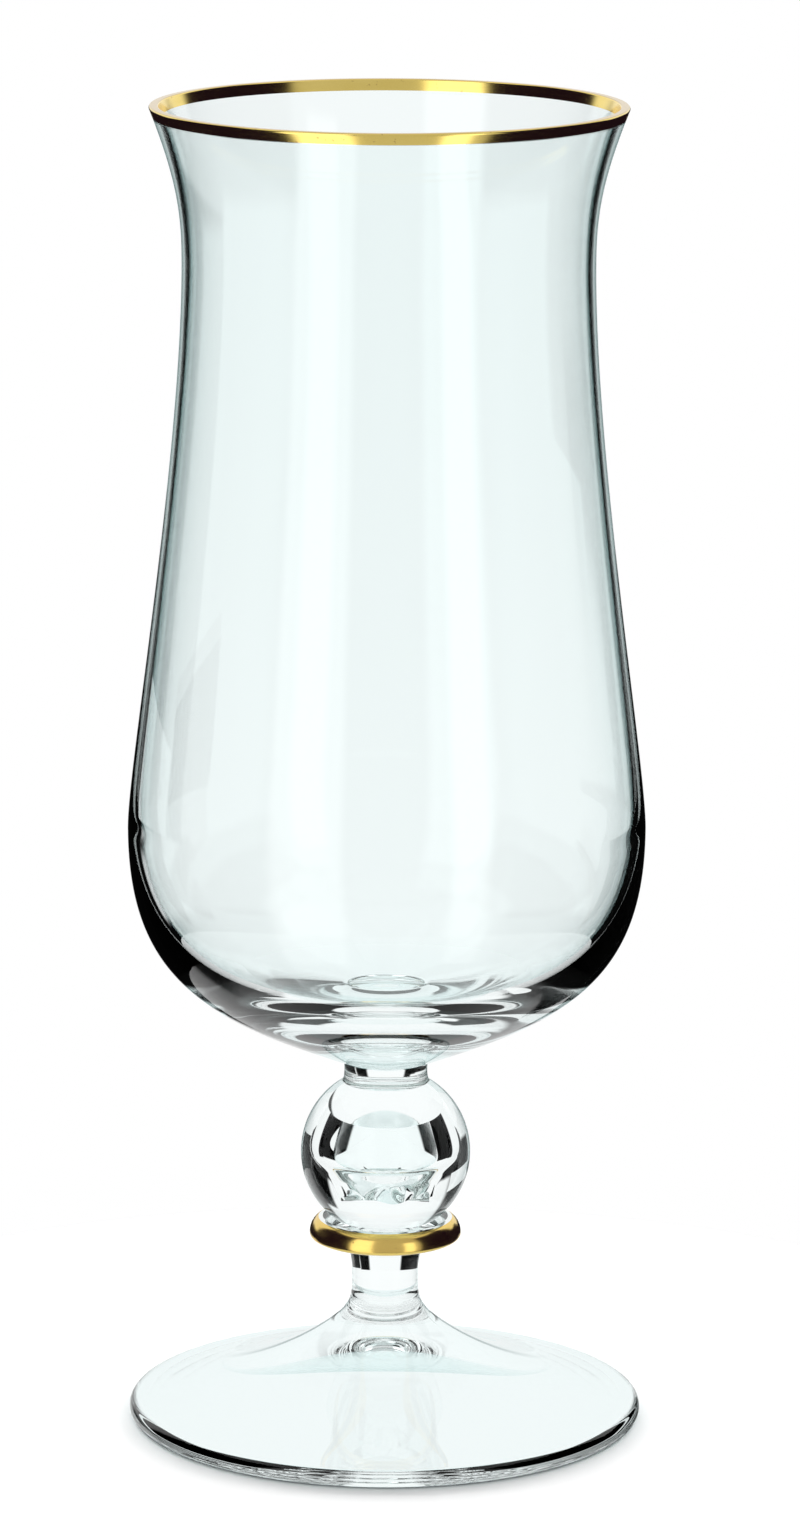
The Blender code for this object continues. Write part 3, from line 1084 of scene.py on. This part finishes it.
@dataclass
class Foot:
    """The spread foot that the glass stands on."""

    glass: bpy.types.Material
    fused: bpy.types.Material
    seam: float = seam_between("foot", "leg")
    seam_radius: float = LEG_SEAM_RADIUS
    radius: float = reach_of("foot")
    edge_thickness: float = 2.8 * MM
    top_slope: float = math.radians(42.5)
    top_handle: float = 7.7 * MM
    rim_slope: float = math.radians(7.9)
    rim_handle: float = 13.5 * MM
    ring_width: float = 1.2 * MM
    hollow_slope: float = math.radians(11.5)
    hollow_handle: float = 21.75 * MM
    dome_handle: float = 9.0 * MM
    dome: float = 11.1 * MM
    rim_steps: int = 32
    slope_steps: int = 80

    def build(self, lathe: Lathe) -> None:
        """Turn the foot.

        Args:
            lathe: The lathe that makes the piece.
        """
        half = self.edge_thickness / 2
        rim_start = 90 - math.degrees(self.rim_slope)
        rim = round_edge(point(self.radius - half, half), half, half, rim_start, -90, self.rim_steps)
        top = point(self.seam_radius, self.seam)
        leave_top = top + polar(self.top_handle, -self.top_slope)
        arrive_rim = rim[0] + polar(self.rim_handle, math.pi - self.rim_slope)
        trumpet = curve(top, leave_top, arrive_rim, rim[0], self.slope_steps)
        ring = point(self.radius - half - self.ring_width, 0)
        leave_ring = ring + polar(self.hollow_handle, math.pi - self.hollow_slope)
        arrive_dome = point(self.dome_handle, self.dome)
        under = curve(ring, leave_ring, arrive_dome, point(0, self.dome), self.slope_steps)
        cap = straight(point(0, self.seam), top)
        shell = [Stretch(cap, Skin.HIDDEN), Stretch(trumpet + rim[1:] + under)]
        lathe.turn("foot", [shell], [self.glass, self.fused], Slot.FOOT_GLASS)


@dataclass(frozen=True)
class LowCard:
    """A low bent card held beside the glass, out of the picture.

    Its start and end are degrees to the right of straight behind the glass.
    """

    name: str
    finish: Finish
    start: float
    end: float
    distance: float
    base: float
    height: float
    segments: int = 24

    def build(self) -> None:
        """Put the card where the glass shows it and the eye doesn't see it."""
        places = []
        for index in range(self.segments + 1):
            turn = math.radians(self.start + (self.end - self.start) * index / self.segments)
            foot = Vector((self.distance * math.sin(turn), self.distance * math.cos(turn), self.base))
            places += [foot, foot + Vector((0.0, 0.0, self.height))]
        faces = [(2 * i, 2 * i + 2, 2 * i + 3, 2 * i + 1) for i in range(self.segments)]
        mesh = bpy.data.meshes.new(self.name)
        mesh.from_pydata(places, [], faces)
        mesh.materials.append(self.finish.material())
        card = bpy.data.objects.new(self.name, mesh)
        card.visible_camera = False
        card.visible_diffuse = False
        card.visible_shadow = False
        bpy.context.scene.collection.objects.link(card)


@dataclass(frozen=True)
class Panel:
    """A card or soft box of the studio, as the glass and the gold see it from afar.

    Its start and end are degrees to the right of straight behind the glass, and its base and top
    are degrees above the horizon. Its light is 1 where it is white, and its blur is in degrees.
    """

    start: float
    end: float
    base: float
    top: float
    light: float
    blur: float = 3.0
    both_sides: bool = False

    def lay(self, light: Value, turn: Socket, height: Socket) -> Socket:
        """Return the light of the studio with this panel in front of it.

        Args:
            light: The light without the panel.
            turn: Turn of the direction that is looked in.
            height: Height of that direction.

        Returns:
            The light with the panel.
        """
        across = abs(turn) if self.both_sides else turn
        inside = across.between(self.start, self.end, self.blur)
        inside = inside * height.between(self.base, self.top, self.blur)
        return light + (self.light - light) * inside


@dataclass
class Studio:
    """The table, the light round it and the camera."""

    table_radius: float = 0.115
    table_drop: float = 0.05 * MM
    table_steps: int = 128
    table_light: float = 0.75
    back_light: float = 4.6
    back_beam: tuple[float, float, float] = (60.0, 8.0, 39.0)
    back_beam_blur: tuple[float, float] = (20.0, 10.0)
    front_dim: Panel = Panel(122.0, 200.0, -100.0, 100.0, 0.6, 10.0, True)
    left_box: Panel = Panel(-160.0, -126.0, -100.0, 46.0, 1.6, 6.0)
    right_box: Panel = Panel(133.0, 150.0, -100.0, 28.0, 1.6, 5.0)
    strips: Panel = Panel(19.0, 35.0, -100.0, 3.0, 0.003, 3.0, True)
    left_side: Panel = Panel(-124.0, -40.0, 3.0, 50.0, 0.003, 6.0)
    right_side: Panel = Panel(43.0, 124.0, 3.0, 50.0, 0.003, 6.0)
    left_card: Panel = Panel(-73.0, -25.0, -16.5, 3.0, 0.003)
    right_card: Panel = Panel(33.0, 66.0, -4.0, 25.0, 0.003)
    floor_cards: Panel = Panel(38.0, 124.0, -100.0, -33.0, 0.003, 5.0, True)
    side_window: Panel = Panel(-107.0, -73.0, -6.6, 4.0, 1.0, 2.0)
    corner_window: Panel = Panel(-62.0, -28.0, -31.0, -19.0, 1.0, 3.0)
    mirrored_front: Panel = Panel(122.0, 200.0, -40.0, 100.0, 0.58, 10.0, True)
    mirrored_roof: Panel = Panel(-200.0, 200.0, 65.0, 200.0, 0.75, 20.0)
    mirrored_low: Panel = Panel(28.0, 124.0, -100.0, 5.0, 0.003, 7.0, True)
    mirrored_edge: Panel = Panel(7.0, 32.0, -40.0, 0.0, 0.003, 4.0, True)
    mirrored_sides: Panel = Panel(50.0, 124.0, 0.0, 50.0, 0.003, 7.0, True)
    cards: tuple[LowCard, ...] = (
        LowCard("card_right", CardFinish(), 34.5, 72.0, distance=0.125, base=0.0, height=0.06),
        LowCard("card_left", PaleCardFinish(), -70.0, -38.0, distance=0.2, base=0.042, height=0.043),
    )
    light_bounces: int = 64
    clear_bounces: int = 32
    gloss_bounces: int = 12
    camera_place: tuple[float, float, float] = (0.0, -1.0194, 0.3188)
    camera_pitch: float = math.radians(12.106)
    camera_roll: float = math.radians(0.22)
    focal_pixels: float = 6960.0
    image_size: tuple[int, int] = (800, 1540)
    axis_pixel: float = 387.0
    film_height: float = 36.0

    def build(self) -> None:
        """Set up the table, the cards, the light and the camera."""
        self.lay_table()
        for card in self.cards:
            card.build()
        self.light()
        self.aim_camera()
        self.set_light_paths()

    def lay_table(self) -> None:
        """Lay a round white sheet under the glass."""
        place = (0, 0, -self.table_drop)
        bpy.ops.mesh.primitive_circle_add(
            vertices=self.table_steps, radius=self.table_radius, fill_type="NGON", location=place
        )
        table = bpy.context.object
        table.name = "table"
        table.data.materials.append(TableFinish().material())

    def light(self) -> None:
        """Light the glass: white behind, dark cards at the sides, soft boxes by the camera."""
        world = bpy.data.worlds.new("studio")
        world.use_nodes = True
        world.cycles.sampling_method = "NONE"
        bpy.context.scene.world = world
        graph = Graph(world.node_tree)
        eye = graph.ray(Ray.EYE)
        matt = graph.ray(Ray.MATT)
        turn, height = self.bearing(graph)
        plain = eye + matt * self.sky(turn, height)
        shown = self.surroundings(turn, height, graph.mirrored_ray())
        strength = plain + (1 - eye) * (1 - matt) * shown
        white = {"Color": (1.0, 1.0, 1.0), "Strength": strength}
        backdrop = graph.node("ShaderNodeBackground", None, white)
        graph.node("ShaderNodeOutputWorld", None, {"Surface": backdrop})

    def bearing(self, graph: Graph) -> tuple[Socket, Socket]:
        """Return the turn and the height of the direction that a ray of light comes from.

        Args:
            graph: The world's node tree.

        Returns:
            Degrees to the right of straight behind the glass, and degrees above the horizon.
        """
        direction = graph.node("ShaderNodeTexCoord", output="Generated")
        east, north, up = (graph.part(direction, axis) for axis in "XYZ")
        degrees = math.degrees(1.0)
        return east.maths("ARCTAN2", east, north) * degrees, up.maths("ARCSINE", up) * degrees

    def sky(self, turn: Socket, height: Socket) -> Socket:
        """Return how bright the light on the table is in each direction.

        Args:
            turn: Turn of the direction.
            height: Height of the direction.

        Returns:
            The brightness: more from behind the glass, so that its shadow falls to the front.
        """
        half, base, top = self.back_beam
        side_blur, end_blur = self.back_beam_blur
        beam = turn.between(-half, half, side_blur) * height.between(base, top, end_blur)
        return self.table_light + self.back_light * beam

    def surroundings(self, turn: Socket, height: Socket, mirrored_ray: Socket) -> Socket:
        """Return how bright the studio is to the glass and the gold in each direction.

        Args:
            turn: Turn of the direction.
            height: Height of the direction.
            mirrored_ray: 1 where a gloss mirrors the studio, and 0 where it is seen through glass.

        Returns:
            The brightness, where 1 is white.
        """
        light = self.front_dim.lay(1.0, turn, height)
        mirrored = self.mirrored_front.lay(light, turn, height)
        boxes = (self.left_box, self.right_box)
        cards = (self.strips, self.left_side, self.right_side, self.left_card, self.right_card)
        windows = (self.side_window, self.corner_window)
        for panel in (*boxes, *cards, self.floor_cards, *windows):
            light = panel.lay(light, turn, height)
        sides = (self.mirrored_low, self.mirrored_edge, self.mirrored_sides)
        for panel in (*boxes, self.mirrored_roof, *sides):
            mirrored = panel.lay(mirrored, turn, height)
        return light + (mirrored - light) * mirrored_ray

    def aim_camera(self) -> None:
        """Stand the camera where the picture was taken from."""
        width, height = self.image_size
        lens = bpy.data.cameras.new("camera")
        lens.sensor_fit = "VERTICAL"
        lens.sensor_height = self.film_height
        lens.lens = self.film_height * self.focal_pixels / height
        lens.shift_x = (width / 2 - self.axis_pixel) / height
        camera = bpy.data.objects.new("camera", lens)
        bpy.context.scene.collection.objects.link(camera)
        tilt = Matrix.Rotation(math.pi / 2 - self.camera_pitch, 4, "X")
        roll = Matrix.Rotation(self.camera_roll, 4, "Z")
        camera.matrix_world = Matrix.Translation(self.camera_place) @ tilt @ roll
        bpy.context.scene.camera = camera

    def set_light_paths(self) -> None:
        """Show colours as they are written, and let light run on through every wall of the glass."""
        scene = bpy.context.scene
        scene.view_settings.view_transform = "Standard"
        scene.cycles.max_bounces = self.light_bounces
        scene.cycles.transmission_bounces = self.light_bounces
        scene.cycles.transparent_max_bounces = self.clear_bounces
        scene.cycles.glossy_bounces = self.gloss_bounces


def main() -> None:
    """Build the glass and its studio, and report each piece."""
    logging.basicConfig(level=logging.INFO, format="%(name)s %(message)s")
    lathe = Lathe()
    fused = FusedFinish().material()
    back = GoldBackFinish().material()
    Bowl(BOWL_CLEAR.material(), fused, RIM_GOLD.material(), back).build(lathe)
    Stem(STEM_CLEAR.material(), fused, COLLAR_GOLD.material(), back).build(lathe)
    Foot(FOOT_CLEAR.material(), fused).build(lathe)
    Studio().build()
    for piece in lathe.pieces:
        LOG.info("%s: %d faces", piece.name, len(piece.data.polygons))


if __name__ == "__main__":
    main()
